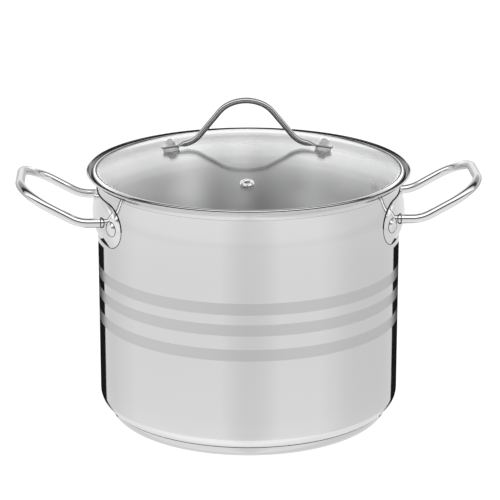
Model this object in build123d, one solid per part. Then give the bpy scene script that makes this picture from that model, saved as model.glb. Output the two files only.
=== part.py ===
from build123d import *
import os
from math import asin, atan2, cos, degrees, radians, sin, sqrt, tan

# Water bath canner: a tall stainless pot with a capsule base, two rod handles on
# riveted bracket plates, a domed glass lid with a steam vent, and a wire jar rack.
#
# Units are millimetres. +Z is up, the origin is the centre of the underside,
# and the two pot handles point along -X and +X.

# ---------------------------------------------------------------- dimensions

# pot shell
POT_RADIUS = 140.0            # outside of the straight wall
SHEET = 0.8                   # wall and floor thickness
FLOOR_UNDERSIDE = 10.0        # height of the shell floor's lower face
POT_CORNER = 15.5             # outside radius between floor and wall
CREASE_HEIGHT = 226.0         # where the straight wall turns into the flared rim
FLARE_RADIUS = 18.0           # upper surface of the flare, in section
LIP_RADIUS = 149.6            # outermost edge of the rim
LIP_HEIGHT = 237.3            # top of the rim
LIP_BEAD = 0.9                # radius of the rolled edge

# capsule base
CAP_FLAT_RADIUS = 119.2
CAP_CORNER = 12.9
CAP_SHEET = 0.6
CAP_EDGE_HEIGHT = 11.4        # upper edge of the cap, just under the shell's corner
CORE_EDGE_HEIGHT = 10.0       # where the core's side leaves the cap
CORE_CHAMFER = 1.1            # keeps the seam above the cap open

# pot handles: round rod, bent up and closed with a rounded end
ROD_RADIUS = 4.3
LEG_SPREAD = 49.3             # half the distance between the two legs
LEG_HEIGHT = 200.0
BEND_X = 156.3                # where the legs turn upwards
BEND_RADIUS = 33.8
RISE_ANGLE = 29.1             # degrees above horizontal
RISE_LENGTH = 61.4            # from the bend to the far end, on the centre line
END_CORNER = 32.6

# bracket plates: dished, following the wall
PLATE_HEIGHT = 198.5          # centre of the plate
PLATE_HALF_HEIGHT = 20.5
PLATE_DISH = 4.8              # how far the middle stands off the wall
PLATE_SHEET = 1.0
PLATE_HALF_ANGLE = 32.6       # degrees round the pot, to the tip of the plate
ROD_HOLE_GAP = 0.35

# rivets, two per plate
RIVET_ANGLE = 27.3            # degrees round the pot from the middle of the plate
RIVET_HEAD_RADIUS = 6.8
RIVET_HEAD_HEIGHT = 1.7
RIVET_SHANK = 2.5
RIVET_SHOULDER = 4.0

# lid: the whole lid is turned a little on the pot
LID_TURN = -2.75
GLASS_TOP = 259.3             # crown of the dome
GLASS_CURVE = 449.0           # radius of the dome's upper surface
GLASS = 4.0
GLASS_EDGE_RADIUS = 141.3     # centre of the rounded glass edge
HOLES_OFF_CENTRE = -1.3       # the drilled holes as a group, along the handle
BAND_SHEET = 0.6
BAND_GAP = 0.04               # lets the straight legs clear the curved glass
BAND_TOP_LEG = 0.4
BAND_LOWER_LEG = 3.2
SKIRT_RADIUS = 138.4
SKIRT_BOTTOM = 226.6

# lid handle: round wire with flattened feet
WIRE_RADIUS = 2.75
ARCH_TOP = 300.3
ARCH_OFF_CENTRE = -1.0        # from the middle of the two screws
ARCH_RADIUS = 36.0
ARCH_ANGLE = 25.0
SHOULDER_RADIUS = 27.0
SLOPE_ANGLE = 50.5
SWEEP_OUT_RADIUS = 22.0
FOOT_THICKNESS = 2.0
FOOT_HALF_WIDTH = 5.4
FOOT_REACH = 8.9              # from the screw to the end of the foot
FOOT_TAB = 6.9                # flat length on the other side of the screw
HOLE_X = 70.0                 # handle screws, either side of the middle

# handle fixings, M5
SCREW_RADIUS = 2.5
SCREW_CLEARANCE = 0.3
NUT_FLATS = 8.4
NUT_HEX_HEIGHT = 5.0
NUT_HEIGHT = 6.5
GASKET_RADIUS = 7.4
GASKET_PAD = 2.8
GASKET_STEM_RADIUS = 3.6
LOWER_GASKET = 1.6
WASHER = 1.0
WASHER_RADIUS = 6.4
SCREW_HEAD_RADIUS = 4.6
SCREW_HEAD = 2.8

# steam vent
VENT_REACH = 98.0             # from the crown, towards -Y
VENT_HOLE_RADIUS = 2.85
VENT_TUBE = 0.6
VENT_FLANGE_RADIUS = 6.4
VENT_FLANGE = 1.2
VENT_GASKET = 1.0
VENT_LOBES = 8
VENT_NOTCH_RADIUS = 1.2
VENT_SEAT_RADIUS = 5.4        # gaskets and the rolled foot under the glass

# jar rack
RACK_WIRE = 2.0               # radius of the heavy wires
RACK_THIN_WIRE = 1.5
RACK_RADIUS = 124.0
RACK_INNER_RADIUS = 62.0
RACK_HEIGHT = 34.0            # outer ring's centre line
CROSS_SPACING = 22.0
CROSS_WIRES_EACH_SIDE = 3
PIVOT_X = 90.0
FOOT_GAP = 0.4                # running clearance over the pot floor
FOOT_HALF_SPAN = 12.0
FOOT_BEND = 6.0
EYE_CLEARANCE = 0.08
LIFT_HALF_WIDTH = 40.0
LIFT_LENGTH = 84.0
LIFT_CORNER = 12.0

# ---------------------------------------------------------------- helpers


def turned(*edges):
    """Solid of revolution about Z from a closed outline of (radius, height) edges."""
    return revolve(Plane.XZ * make_face(edges), Axis.Z)


def ring_of_wire(ring_radius, height, wire_radius):
    """Closed ring of round wire lying level."""
    return Pos(0, 0, height) * Torus(ring_radius, wire_radius)


def rod_along(path, start, direction, radius):
    """Round rod swept along a tangent-continuous path."""
    section = Plane(origin=start, z_dir=direction) * Circle(radius)
    return sweep(section, path=path)


def upright(radius, low, high, x=0.0, y=0.0):
    """Vertical cylinder between two heights."""
    return Pos(x, y, low) * Cylinder(radius, high - low, align=(Align.CENTER, Align.CENTER, Align.MIN))


def both_sides(part):
    """A part at +X together with its copy turned half round the pot."""
    return [part, Rot(0, 0, 180) * part]


def dome_height(crown, curve, radius):
    """Height of a spherical dome's surface at a radius from the axis."""
    return crown - curve + sqrt(curve**2 - radius**2)


# ---------------------------------------------------------------- pot shell

INNER_RADIUS = POT_RADIUS - SHEET
POT_FLOOR = FLOOR_UNDERSIDE + SHEET
CORNER_CENTRE = (POT_RADIUS - POT_CORNER, FLOOR_UNDERSIDE + POT_CORNER)

# the flare's section is an arc through the crease and the lip, curving outwards
LIP_POINT = (LIP_RADIUS - LIP_BEAD, LIP_HEIGHT - LIP_BEAD)
CHORD = (LIP_POINT[0] - INNER_RADIUS, LIP_POINT[1] - CREASE_HEIGHT)
CHORD_LENGTH = sqrt(CHORD[0] ** 2 + CHORD[1] ** 2)
FLARE_DROP = sqrt(FLARE_RADIUS**2 - CHORD_LENGTH**2 / 4)
FLARE_CENTRE = (
    INNER_RADIUS + CHORD[0] / 2 + FLARE_DROP * CHORD[1] / CHORD_LENGTH,
    CREASE_HEIGHT + CHORD[1] / 2 - FLARE_DROP * CHORD[0] / CHORD_LENGTH,
)


def flare_point(radius, angle):
    """Point on the flare's section at an angle in degrees about its centre."""
    return (
        FLARE_CENTRE[0] + radius * cos(radians(angle)),
        FLARE_CENTRE[1] + radius * sin(radians(angle)),
    )


def flare_arc(radius, start_angle, end_angle):
    """Arc of the flare's section."""
    middle = (start_angle + end_angle) / 2
    return ThreePointArc(
        flare_point(radius, start_angle), flare_point(radius, middle), flare_point(radius, end_angle)
    )


def angle_at_radius(flare_radius, pot_radius):
    """Angle about the flare's centre where its arc meets a vertical wall."""
    across = FLARE_CENTRE[0] - pot_radius
    return 180 - degrees(asin(sqrt(flare_radius**2 - across**2) / flare_radius))


def make_pot_shell():
    """Deep drawn pot: flat floor, rounded corner, straight wall, flared rim."""
    outer_flare = FLARE_RADIUS - SHEET
    lip_angle = degrees(atan2(LIP_POINT[1] - FLARE_CENTRE[1], LIP_POINT[0] - FLARE_CENTRE[0]))
    inner_crease = flare_point(FLARE_RADIUS, angle_at_radius(FLARE_RADIUS, INNER_RADIUS))
    outer_crease = flare_point(outer_flare, angle_at_radius(outer_flare, POT_RADIUS))
    corner_x, corner_z = CORNER_CENTRE
    inner_corner = POT_CORNER - SHEET
    shell = turned(
        Line((0, FLOOR_UNDERSIDE), (corner_x, FLOOR_UNDERSIDE)),
        CenterArc(CORNER_CENTRE, POT_CORNER, -90, 90),
        Line((POT_RADIUS, corner_z), outer_crease),
        flare_arc(outer_flare, angle_at_radius(outer_flare, POT_RADIUS), lip_angle),
        Line(flare_point(outer_flare, lip_angle), flare_point(FLARE_RADIUS, lip_angle)),
        flare_arc(FLARE_RADIUS, lip_angle, angle_at_radius(FLARE_RADIUS, INNER_RADIUS)),
        Line(inner_crease, (INNER_RADIUS, corner_z)),
        CenterArc(CORNER_CENTRE, inner_corner, 0, -90),
        Line((corner_x, POT_FLOOR), (0, POT_FLOOR)),
        Line((0, POT_FLOOR), (0, FLOOR_UNDERSIDE)),
    )
    lip_middle = flare_point(FLARE_RADIUS - SHEET / 2, lip_angle)
    shell += ring_of_wire(lip_middle[0], lip_middle[1], LIP_BEAD)
    for hole in rivet_shanks(RIVET_SHANK):
        shell -= hole
    return shell


# ---------------------------------------------------------------- capsule base


CAP_CENTRE = (CAP_FLAT_RADIUS, CAP_CORNER)
CORE_CORNER = CAP_CORNER - CAP_SHEET


def make_base_cap():
    """Pressed steel cap that wraps the core from below."""
    end = degrees(asin((CAP_CORNER - CAP_EDGE_HEIGHT) / CAP_CORNER))
    outer = CenterArc(CAP_CENTRE, CAP_CORNER, -90, 90 - end)
    inner = CenterArc(CAP_CENTRE, CORE_CORNER, -end, end - 90)
    return turned(
        Line((0, 0), (CAP_FLAT_RADIUS, 0)),
        outer,
        Line(outer @ 1, inner @ 0),
        inner,
        Line((CAP_FLAT_RADIUS, CAP_SHEET), (0, CAP_SHEET)),
        Line((0, CAP_SHEET), (0, 0)),
    )


def make_base_core():
    """Aluminium disc that fills the cap up to the pot floor."""
    corner_x, corner_z = CORNER_CENTRE
    end = degrees(asin((CAP_CORNER - CORE_EDGE_HEIGHT) / CORE_CORNER))
    side = CenterArc(CAP_CENTRE, CORE_CORNER, -90, 90 - end)
    top_radius = (side @ 1).X - CORE_CHAMFER
    top_z = corner_z - sqrt(POT_CORNER**2 - (top_radius - corner_x) ** 2)
    turn = degrees(asin((top_radius - corner_x) / POT_CORNER))
    return turned(
        Line((0, CAP_SHEET), (CAP_FLAT_RADIUS, CAP_SHEET)),
        side,
        Line(side @ 1, (top_radius, top_z)),
        CenterArc(CORNER_CENTRE, POT_CORNER, turn - 90, -turn),
        Line((corner_x, FLOOR_UNDERSIDE), (0, FLOOR_UNDERSIDE)),
        Line((0, FLOOR_UNDERSIDE), (0, CAP_SHEET)),
    )


# ---------------------------------------------------------------- pot handles


def make_handle():
    """Rod loop at +X: two level legs off the wall, bent up to a rounded end."""
    end_x = BEND_X + RISE_LENGTH * cos(radians(RISE_ANGLE))
    end_z = LEG_HEIGHT + RISE_LENGTH * sin(radians(RISE_ANGLE))
    inside_wall = POT_RADIUS - 4 * ROD_RADIUS
    path = FilletPolyline(
        (inside_wall, -LEG_SPREAD, LEG_HEIGHT),
        (BEND_X, -LEG_SPREAD, LEG_HEIGHT),
        (end_x, -LEG_SPREAD, end_z),
        (end_x, LEG_SPREAD, end_z),
        (BEND_X, LEG_SPREAD, LEG_HEIGHT),
        (inside_wall, LEG_SPREAD, LEG_HEIGHT),
        radius=(BEND_RADIUS, END_CORNER, END_CORNER, BEND_RADIUS),
    )
    rod = rod_along(path, path @ 0, (1, 0, 0), ROD_RADIUS)
    return rod - upright(POT_RADIUS, LEG_HEIGHT - 20, LEG_HEIGHT + 20)


# The dished plate's outer face is a torus that follows the wall, closed by a
# sphere at each end, so that its edge meets the wall all round.
DISH_RADIUS = (PLATE_HALF_HEIGHT**2 + PLATE_DISH**2) / (2 * PLATE_DISH)
DISH_CENTRE = POT_RADIUS + PLATE_DISH - DISH_RADIUS
END_REACH = degrees(
    asin(
        sqrt(
            1
            - ((POT_RADIUS**2 + DISH_CENTRE**2 - DISH_RADIUS**2) / (2 * POT_RADIUS * DISH_CENTRE)) ** 2
        )
    )
)
END_ANGLE = PLATE_HALF_ANGLE - END_REACH


def dish(radius):
    """Solid between the wall and a dished surface of the given section radius."""
    half = sqrt(radius**2 - (POT_RADIUS - DISH_CENTRE) ** 2)
    segment = make_face(
        [
            Line((POT_RADIUS, -half), (POT_RADIUS, half)),
            ThreePointArc((POT_RADIUS, half), (DISH_CENTRE + radius, 0), (POT_RADIUS, -half)),
        ]
    )
    band = revolve(Plane.XZ * segment, Axis.Z, revolution_arc=2 * END_ANGLE)
    body = Rot(0, 0, -END_ANGLE) * band
    beyond = Pos(0, radius, 0) * Box(4 * radius, 2 * radius, 4 * radius)
    cap = Sphere(radius) & beyond
    for side in (1, -1):
        end = Pos(DISH_CENTRE, 0, 0) * cap
        end = Rot(0, 0, END_ANGLE) * end
        end -= upright(POT_RADIUS, -2 * radius, 2 * radius)
        body += end if side > 0 else mirror(end, Plane.XZ)
    return Pos(0, 0, PLATE_HEIGHT) * body


def make_bracket():
    """Dished plate at +X with holes for the rod's legs and the rivets."""
    plate = dish(DISH_RADIUS) - dish(DISH_RADIUS - PLATE_SHEET)
    for side in (1, -1):
        leg = Pos(POT_RADIUS, side * LEG_SPREAD, LEG_HEIGHT) * Rot(0, 90, 0)
        plate -= leg * Cylinder(ROD_RADIUS + ROD_HOLE_GAP, 4 * DISH_RADIUS)
        plate -= rivet_frame(side) * Cylinder(RIVET_SHANK, 4 * DISH_RADIUS)
    return plate


def rivet_frame(side):
    """Location on the wall's outside, local Z pointing outwards along a rivet."""
    angle = side * RIVET_ANGLE
    return Rot(0, 0, angle) * Pos(POT_RADIUS, 0, PLATE_HEIGHT) * Rot(0, 90, 0)


def rivet_shanks(radius):
    """The four rivet shanks, as cylinders through the wall."""
    shanks = []
    for side in (1, -1):
        shanks += both_sides(rivet_frame(side) * Cylinder(radius, 12))
    return shanks


def domed_head(radius, height):
    """Low dome standing on Z = 0."""
    curve = (radius**2 + height**2) / (2 * height)
    ball = Pos(0, 0, height - curve) * Sphere(curve)
    return ball & upright(radius, 0, 2 * height)


def make_rivets():
    """Two shouldered rivets at +X, each with a domed head outside and inside."""
    turn = radians(RIVET_ANGLE - END_ANGLE)
    stand_off = DISH_CENTRE * cos(turn) + sqrt(DISH_RADIUS**2 - (DISH_CENTRE * sin(turn)) ** 2)
    stand_off -= POT_RADIUS
    tilt = degrees(asin(DISH_CENTRE * sin(turn) / DISH_RADIUS))
    wall_outside = upright(POT_RADIUS, 0, LIP_HEIGHT)
    wall_inside = upright(INNER_RADIUS, 0, LIP_HEIGHT)
    hollow = dish(DISH_RADIUS - PLATE_SHEET)
    rivets = []
    for side in (1, -1):
        frame = rivet_frame(side)
        outer_head = frame * Pos(0, 0, stand_off - 0.4) * Rot(-side * tilt, 0, 0)
        outer_head = outer_head * domed_head(RIVET_HEAD_RADIUS, RIVET_HEAD_HEIGHT + 0.4)
        outer_head -= dish(DISH_RADIUS)
        shoulder = (frame * Cylinder(RIVET_SHOULDER, 12)) & hollow
        shank = frame * upright(RIVET_SHANK, -SHEET - 0.5, stand_off + 0.6)
        inner_head = frame * Pos(0, 0, -SHEET + 0.5) * Rot(180, 0, 0)
        inner_head = (inner_head * domed_head(RIVET_HEAD_RADIUS, RIVET_HEAD_HEIGHT + 0.5)) & wall_inside
        rivets.append(outer_head + shoulder + shank + inner_head)
    return rivets


# ---------------------------------------------------------------- lid


def lid_frame(part):
    """Turn a lid piece to the lid's angle on the pot."""
    return Rot(0, 0, LID_TURN) * part


# Fittings are drawn standing on the crown of the dome, with Z = 0 on the glass and
# +X pointing away from the lid's centre, then swung about the dome's centre to
# their hole, so that they stand square to the glass there.
DOME_CENTRE = Pos(0, 0, GLASS_TOP - GLASS_CURVE)
CROWN = Pos(0, 0, GLASS_CURVE)


def degrees_out(reach):
    """Angle at the dome's centre between the crown and a radius."""
    return degrees(asin(reach / GLASS_CURVE))


OFF_CENTRE = Rot(0, degrees_out(HOLES_OFF_CENTRE), 0)


def fitting(part, reach, bearing):
    """Swing a fitting from the crown to a radius, at a bearing in degrees from +X."""
    swing = OFF_CENTRE * Rot(0, 0, bearing) * Rot(0, degrees_out(reach), 0)
    return lid_frame(DOME_CENTRE * swing * CROWN * part)


def at_both_screws(part):
    """The fitting at the +X screw and its partner at the -X screw."""
    return [fitting(part, HOLE_X, bearing) for bearing in (0, 180)]


def at_vent(part):
    """The fitting at the steam vent."""
    return fitting(part, VENT_REACH, -90)


UPPER_SPHERE = Pos(0, 0, -GLASS_CURVE) * Sphere(GLASS_CURVE)
LOWER_SPHERE = Pos(0, 0, -GLASS_CURVE) * Sphere(GLASS_CURVE - GLASS)


MID_CURVE = GLASS_CURVE - GLASS / 2
EDGE_SLOPE = degrees(asin(GLASS_EDGE_RADIUS / MID_CURVE))
EDGE_CENTRE = (GLASS_EDGE_RADIUS, dome_height(GLASS_TOP - GLASS / 2, MID_CURVE, GLASS_EDGE_RADIUS))


def edge_point(along, out):
    """Point by the glass edge: along the glass outwards, and out from its middle face."""
    slope = radians(EDGE_SLOPE)
    return (
        EDGE_CENTRE[0] + along * cos(slope) + out * sin(slope),
        EDGE_CENTRE[1] - along * sin(slope) + out * cos(slope),
    )


def edge_arc(radius, low_to_high):
    """Half-round arc about the glass edge's centre."""
    low, high = edge_point(0, -radius), edge_point(0, radius)
    ends = (low, high) if low_to_high else (high, low)
    return ThreePointArc(ends[0], edge_point(radius, 0), ends[1])


def dome_arc(crown, curve, start, end):
    """Arc of a dome's section between two radii."""
    middle = (start + end) / 2
    return ThreePointArc(*[(r, dome_height(crown, curve, r)) for r in (start, middle, end)])


def make_lid_glass():
    """Domed tempered glass with a rounded edge, two handle holes and a vent hole."""
    top_edge, low_edge = edge_point(0, GLASS / 2), edge_point(0, -GLASS / 2)
    glass = turned(
        dome_arc(GLASS_TOP, GLASS_CURVE, 0, top_edge[0]),
        edge_arc(GLASS / 2, low_to_high=False),
        dome_arc(GLASS_TOP - GLASS, GLASS_CURVE - GLASS, low_edge[0], 0),
        Line((0, GLASS_TOP - GLASS), (0, GLASS_TOP)),
    )
    glass = lid_frame(glass)
    for hole in at_both_screws(upright(GASKET_STEM_RADIUS, -3 * GLASS, 2 * GLASS)):
        glass -= hole
    return glass - at_vent(upright(VENT_HOLE_RADIUS + VENT_TUBE, -3 * GLASS, 2 * GLASS))


def make_rim_band():
    """Rolled steel band: it grips the glass edge and locates the lid in the pot."""
    inner = GLASS / 2 + BAND_GAP
    outer = inner + BAND_SHEET
    skirt_inside = SKIRT_RADIUS - BAND_SHEET
    leg_end = edge_point(-BAND_LOWER_LEG, -outer)
    inside_end = edge_point(-BAND_LOWER_LEG, -inner)
    band = turned(
        edge_arc(outer, low_to_high=True),
        Line(edge_point(0, outer), edge_point(-BAND_TOP_LEG, outer)),
        Line(edge_point(-BAND_TOP_LEG, outer), edge_point(-BAND_TOP_LEG, inner)),
        Line(edge_point(-BAND_TOP_LEG, inner), edge_point(0, inner)),
        edge_arc(inner, low_to_high=False),
        Line(edge_point(0, -inner), inside_end),
        Line(inside_end, (skirt_inside, leg_end[1] - BAND_SHEET)),
        Line((skirt_inside, leg_end[1] - BAND_SHEET), (skirt_inside, SKIRT_BOTTOM)),
        Line((skirt_inside, SKIRT_BOTTOM), (SKIRT_RADIUS, SKIRT_BOTTOM)),
        Line((SKIRT_RADIUS, SKIRT_BOTTOM), (SKIRT_RADIUS, leg_end[1] - BAND_SHEET)),
        Line((SKIRT_RADIUS, leg_end[1] - BAND_SHEET), edge_point(0, -outer)),
    )
    return lid_frame(band)


FOOT_MIDDLE = GASKET_PAD + FOOT_THICKNESS / 2
FOOT_TOPSIDE = GASKET_PAD + FOOT_THICKNESS
FOOT_TILT = degrees_out(HOLE_X)


def leg_corner(side):
    """Where one leg's slope and its foot would meet, and the distance from there to the screw."""
    arch, slope, tilt = radians(ARCH_ANGLE), radians(SLOPE_ANGLE), radians(FOOT_TILT)
    shoulder_x = ARCH_RADIUS * sin(arch) + SHOULDER_RADIUS * (sin(slope) - sin(arch))
    shoulder_z = ARCH_TOP - ARCH_RADIUS * (1 - cos(arch)) - SHOULDER_RADIUS * (cos(arch) - cos(slope))
    foot_x = (GLASS_CURVE + FOOT_MIDDLE) * sin(tilt) - side * ARCH_OFF_CENTRE
    foot_z = GLASS_TOP - GLASS_CURVE + (GLASS_CURVE + FOOT_MIDDLE) * cos(tilt)
    # the slope falls from the shoulder and the foot's line falls through the screw
    run = (shoulder_z - foot_z + tan(slope) * shoulder_x - tan(tilt) * foot_x) / (tan(slope) - tan(tilt))
    height = foot_z + tan(tilt) * (foot_x - run)
    return (shoulder_x, shoulder_z), (run, height), (foot_x - run) / cos(tilt)


def round_length():
    """Length of round wire along a foot's line, from its corner to where the taper starts."""
    return SWEEP_OUT_RADIUS * tan(radians((SLOPE_ANGLE - FOOT_TILT) / 2)) + 0.5


def handle_leg(side):
    """Centre line of one leg, from its foot up to its shoulder."""
    shoulder, corner, _ = leg_corner(side)
    foot = (
        corner[0] + round_length() * cos(radians(FOOT_TILT)),
        corner[1] - round_length() * sin(radians(FOOT_TILT)),
    )
    points = [(ARCH_OFF_CENTRE + side * x, 0, z) for x, z in (foot, corner, shoulder)]
    return FilletPolyline(*points, radius=SWEEP_OUT_RADIUS)


def make_lid_handle():
    """Arched wire, drawn as one tangent path, with a flattened foot at each end."""
    arch, slope = radians(ARCH_ANGLE), radians(SLOPE_ANGLE)
    middle = (arch + slope) / 2

    def top_point(side, angle):
        x = ARCH_RADIUS * sin(min(angle, arch))
        z = ARCH_TOP - ARCH_RADIUS * (1 - cos(min(angle, arch)))
        if angle > arch:
            x += SHOULDER_RADIUS * (sin(angle) - sin(arch))
            z -= SHOULDER_RADIUS * (cos(arch) - cos(angle))
        return (ARCH_OFF_CENTRE + side * x, 0, z)

    left, right = handle_leg(-1), handle_leg(1)
    path = Wire(
        [
            *left.edges(),
            ThreePointArc(top_point(-1, slope), top_point(-1, middle), top_point(-1, arch)),
            ThreePointArc(top_point(-1, arch), top_point(-1, 0), top_point(1, arch)),
            ThreePointArc(top_point(1, arch), top_point(1, middle), top_point(1, slope)),
            *right.edges(),
        ]
    )
    wire = rod_along(path, left @ 0, left % 0, WIRE_RADIUS)
    handle = lid_frame(DOME_CENTRE * OFF_CENTRE * DOME_CENTRE.inverse() * wire)
    for side, bearing in ((1, 0), (-1, 180)):
        handle += fitting(make_foot(leg_corner(side)[2] - round_length()), HOLE_X, bearing)
    return handle


def make_foot(taper_start):
    """Wire pressed flat: a taper from the round wire to a drilled tab, pointing to +X."""
    round_section = Plane(origin=(-taper_start, 0, FOOT_MIDDLE), x_dir=(0, 1, 0), z_dir=(1, 0, 0))
    flat_section = Plane(origin=(-FOOT_TAB, 0, FOOT_MIDDLE), x_dir=(0, 1, 0), z_dir=(1, 0, 0))
    taper = loft(
        [
            round_section * Ellipse(WIRE_RADIUS, WIRE_RADIUS),
            flat_section * Ellipse(FOOT_HALF_WIDTH, FOOT_THICKNESS / 2),
        ]
    )
    tab_end = FOOT_REACH - FOOT_HALF_WIDTH
    tab = Pos((tab_end - FOOT_TAB) / 2, 0, FOOT_MIDDLE) * Box(
        tab_end + FOOT_TAB, 2 * FOOT_HALF_WIDTH, FOOT_THICKNESS
    )
    tab += upright(FOOT_HALF_WIDTH, GASKET_PAD, FOOT_TOPSIDE, x=tab_end)
    tab = fillet(tab.edges().filter_by(Plane.XY), 0.5)
    return taper + tab - upright(SCREW_RADIUS + SCREW_CLEARANCE, 0, 2 * FOOT_TOPSIDE)


def make_cap_nut():
    """Cap nut: hexagon with bevelled corners and a low domed end."""
    hexagon = RegularPolygon(NUT_FLATS / 2, 6, major_radius=False)
    body = Pos(0, 0, FOOT_TOPSIDE) * extrude(hexagon, NUT_HEX_HEIGHT)
    bevel = NUT_FLATS / 2 * 1.12
    body &= Pos(0, 0, FOOT_TOPSIDE) * Cone(
        bevel + NUT_HEX_HEIGHT,
        bevel - 0.4,
        NUT_HEX_HEIGHT,
        align=(Align.CENTER, Align.CENTER, Align.MIN),
    )
    dome = domed_head(NUT_FLATS / 2 - 0.4, NUT_HEIGHT - NUT_HEX_HEIGHT)
    body += Pos(0, 0, FOOT_TOPSIDE + NUT_HEX_HEIGHT) * dome
    return body - upright(SCREW_RADIUS, 0, FOOT_TOPSIDE + NUT_HEX_HEIGHT - 0.4)


def make_upper_gasket():
    """Silicone pad between foot and glass, with a stem that lines the glass hole."""
    pad = upright(GASKET_RADIUS, -1, GASKET_PAD) - UPPER_SPHERE
    pad = fillet(pad.edges().sort_by(Axis.Z)[-1], 0.6)
    stem = upright(GASKET_STEM_RADIUS, -GLASS, GASKET_PAD - 0.5)
    return pad + stem - upright(SCREW_RADIUS, -2 * GLASS, 2 * GASKET_PAD)


def make_lower_gasket():
    """Silicone washer under the glass."""
    ring = upright(GASKET_RADIUS, -GLASS - LOWER_GASKET, 0) & LOWER_SPHERE
    return ring - upright(SCREW_RADIUS, -3 * GLASS, 0)


WASHER_TOP = -GLASS - LOWER_GASKET
SCREW_SEAT = WASHER_TOP - WASHER


def make_washer():
    """Flat steel washer between gasket and screw head."""
    return upright(WASHER_RADIUS, SCREW_SEAT, WASHER_TOP) - upright(SCREW_RADIUS, -4 * GLASS, 0)


def make_screw():
    """Pan-head screw, from under the glass up into the nut, with a cross recess."""
    head = upright(SCREW_HEAD_RADIUS, SCREW_SEAT - SCREW_HEAD, SCREW_SEAT)
    head = fillet(head.edges().sort_by(Axis.Z)[0], 1.4)
    for width, depth in ((5.0, 1.1), (1.1, 5.0)):
        head -= Pos(0, 0, SCREW_SEAT - SCREW_HEAD + 0.6) * Box(width, depth, 2.4)
    return head + upright(SCREW_RADIUS - 0.01, SCREW_SEAT - 0.5, FOOT_TOPSIDE + NUT_HEX_HEIGHT - 1.0)


# ---------------------------------------------------------------- steam vent


def make_vent_eyelet():
    """Eyelet with a scalloped, rounded flange on top and a rolled foot under the glass."""
    tube = VENT_HOLE_RADIUS + VENT_TUBE
    low = VENT_GASKET
    high = low + VENT_FLANGE
    edge = VENT_FLANGE_RADIUS
    foot_top = -GLASS - VENT_GASKET
    foot_low = foot_top - VENT_TUBE
    eyelet = turned(
        Line((VENT_HOLE_RADIUS, foot_low), (VENT_HOLE_RADIUS, low)),
        ThreePointArc((VENT_HOLE_RADIUS, low), (VENT_HOLE_RADIUS + 0.45, high - 0.2), (tube + 0.9, high)),
        ThreePointArc((tube + 0.9, high), (edge - 0.5, high - 0.4), (edge, low)),
        Line((edge, low), (tube, low)),
        Line((tube, low), (tube, foot_top)),
        Line((tube, foot_top), (VENT_SEAT_RADIUS, foot_top)),
        Line((VENT_SEAT_RADIUS, foot_top), (VENT_SEAT_RADIUS, foot_low)),
        Line((VENT_SEAT_RADIUS, foot_low), (VENT_HOLE_RADIUS, foot_low)),
    )
    notch = upright(VENT_NOTCH_RADIUS, 0, 2 * high, x=edge + 0.55)
    for i in range(VENT_LOBES):
        eyelet -= Rot(0, 0, i * 360 / VENT_LOBES) * notch
    return at_vent(eyelet)


def make_vent_gaskets():
    """Soft washers between the eyelet and the two faces of the glass."""
    bore = upright(VENT_HOLE_RADIUS + VENT_TUBE, -4 * GLASS, GLASS)
    upper = upright(VENT_SEAT_RADIUS, -1, VENT_GASKET) - UPPER_SPHERE - bore
    lower = (upright(VENT_SEAT_RADIUS, -GLASS - VENT_GASKET, 0) & LOWER_SPHERE) - bore
    return [at_vent(upper), at_vent(lower)]


# ---------------------------------------------------------------- jar rack

CROSS_HEIGHT = RACK_HEIGHT + RACK_WIRE + RACK_THIN_WIRE
PIVOT_HEIGHT = RACK_HEIGHT + 2 * RACK_WIRE
EYE_RADIUS = RACK_WIRE + EYE_CLEARANCE + RACK_WIRE


def chord_wire(x, height, radius):
    """Straight wire along Y across the outer ring."""
    length = 2 * sqrt(RACK_RADIUS**2 - x**2) + RACK_WIRE
    return Pos(x, 0, height) * Rot(90, 0, 0) * Cylinder(radius, length)


def make_cross_wires():
    """Parallel wires that the jars stand on."""
    count = CROSS_WIRES_EACH_SIDE
    return [chord_wire(i * CROSS_SPACING, CROSS_HEIGHT, RACK_THIN_WIRE) for i in range(-count, count + 1)]


def make_rack_feet(ring):
    """Four U-shaped wire feet, fishmouthed under the outer ring."""
    low = POT_FLOOR + FOOT_GAP + RACK_WIRE
    span = FOOT_HALF_SPAN
    path = FilletPolyline(
        (RACK_RADIUS, -span, RACK_HEIGHT),
        (RACK_RADIUS, -span, low),
        (RACK_RADIUS, span, low),
        (RACK_RADIUS, span, RACK_HEIGHT),
        radius=FOOT_BEND,
    )
    foot = rod_along(path, path @ 0, (0, 0, -1), RACK_WIRE) - ring
    return [Rot(0, 0, 45 + 90 * i) * foot for i in range(4)]


def make_lift_handle():
    """Folding handle at +X, lying flat: a U of wire with an eye round the pivot wire."""
    top = PIVOT_HEIGHT + EYE_RADIUS

    def eye(y):
        points = []
        for angle in (180, 315, 450):
            x = PIVOT_X + EYE_RADIUS * cos(radians(angle))
            points.append((x, y, PIVOT_HEIGHT + EYE_RADIUS * sin(radians(angle))))
        return points

    loop = FilletPolyline(
        (PIVOT_X, -LIFT_HALF_WIDTH, top),
        (PIVOT_X - LIFT_LENGTH, -LIFT_HALF_WIDTH, top),
        (PIVOT_X - LIFT_LENGTH, LIFT_HALF_WIDTH, top),
        (PIVOT_X, LIFT_HALF_WIDTH, top),
        radius=LIFT_CORNER,
    )
    near, far = eye(-LIFT_HALF_WIDTH), eye(LIFT_HALF_WIDTH)
    path = Wire([ThreePointArc(*near), *loop.edges(), ThreePointArc(*reversed(far))])
    return rod_along(path, near[0], (0, 0, -1), RACK_WIRE)


# ---------------------------------------------------------------- assembly


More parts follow.
